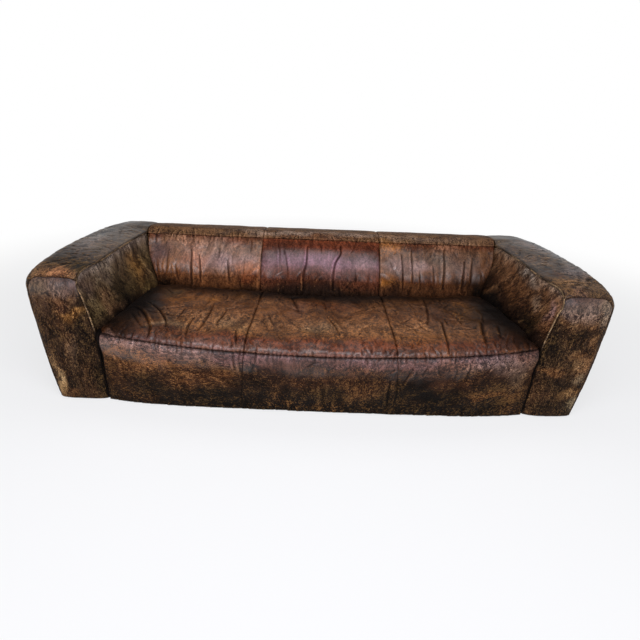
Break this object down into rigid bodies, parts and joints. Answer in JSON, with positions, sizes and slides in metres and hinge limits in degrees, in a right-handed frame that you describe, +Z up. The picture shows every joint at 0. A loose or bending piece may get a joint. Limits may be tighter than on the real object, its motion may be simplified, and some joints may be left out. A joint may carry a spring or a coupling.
{
  "type": "three-seat leather sofa",
  "caption": "Low, deep leather sofa with wide rounded arms, a fixed bow-fronted seat and a bolstered back, patched from worn brown hides over foam and a timber frame.",
  "frame": {"origin": "on the floor, under the middle of the sofa's bounding box", "axes": "+X towards the right arm as seen from the front, -Y towards the sitter's feet, so the back stands at +Y, +Z up"},
  "size_m": [2.7684, 1.2597, 0.6949],
  "materials": {
    "hide_seat": "worn, satin",
    "hide_border": "scuffed, satin",
    "hide_back_left": "worn, satin",
    "hide_back_middle": "worn, satin",
    "hide_back_right": "worn, satin",
    "hide_back_top": "scuffed, matt",
    "hide_inside_arm_left": "worn, satin",
    "hide_inside_arm_right": "worn, satin",
    "hide_arm": "worn, satin",
    "hide_outside_back": "satin",
    "foam": "open-cell foam",
    "timber": "sawn",
    "spring_steel": "plain wire",
    "lining_cloth": "woven, matt",
    "glide_plastic": "moulded"
  },
  "bodies": {
    "root": {"arm_front_board_left": "timber", "arm_front_board_right": "timber", "arm_front_panel_left": "hide_arm", "arm_front_panel_right": "hide_arm", "arm_outside_board_left": "timber", "arm_outside_board_right": "timber", "arm_pad_left": "foam", "arm_pad_right": "foam", "arm_piping_left": "hide_arm", "arm_piping_right": "hide_arm", "arm_rear_board_left": "timber", "arm_rear_board_right": "timber", "arm_top_and_outside_panel_left": "hide_arm", "arm_top_and_outside_panel_right": "hide_arm", "arm_top_rail_left": "timber", "arm_top_rail_right": "timber", "back_foam": "foam", "back_post_left": "timber", "back_post_right": "timber", "back_top_panel_left": "hide_back_top", "back_top_panel_middle": "hide_back_top", "back_top_panel_right": "hide_back_top", "back_top_rail": "timber", "dust_cover": "lining_cloth", "front_border_panel_left": "hide_border", "front_border_panel_middle": "hide_border", "front_border_panel_right": "hide_border", "front_rail": "timber", "front_rail_pad": "foam", "glide_front_left": "glide_plastic", "glide_front_right": "glide_plastic", "glide_rear_left": "glide_plastic", "glide_rear_right": "glide_plastic", "inside_arm_panel_left": "hide_inside_arm_left", "inside_arm_panel_right": "hide_inside_arm_right", "inside_back_panel_left": "hide_back_left", "inside_back_panel_middle": "hide_back_middle", "inside_back_panel_right": "hide_back_right", "outside_back_panel": "hide_outside_back", "rear_rail": "timber", "seat_foam": "foam", "seat_panel_left": "hide_seat", "seat_panel_middle": "hide_seat", "seat_panel_right": "hide_seat", "seat_spring_1": "spring_steel", "seat_spring_2": "spring_steel", "seat_spring_3": "spring_steel", "seat_spring_4": "spring_steel", "seat_spring_5": "spring_steel", "seat_spring_6": "spring_steel", "seat_spring_7": "spring_steel", "seat_spring_8": "spring_steel", "seat_spring_9": "spring_steel", "side_rail_left": "timber", "side_rail_right": "timber", "spring_rail": "timber", "stretcher_left": "timber", "stretcher_right": "timber"}
  },
  "joints": []
}
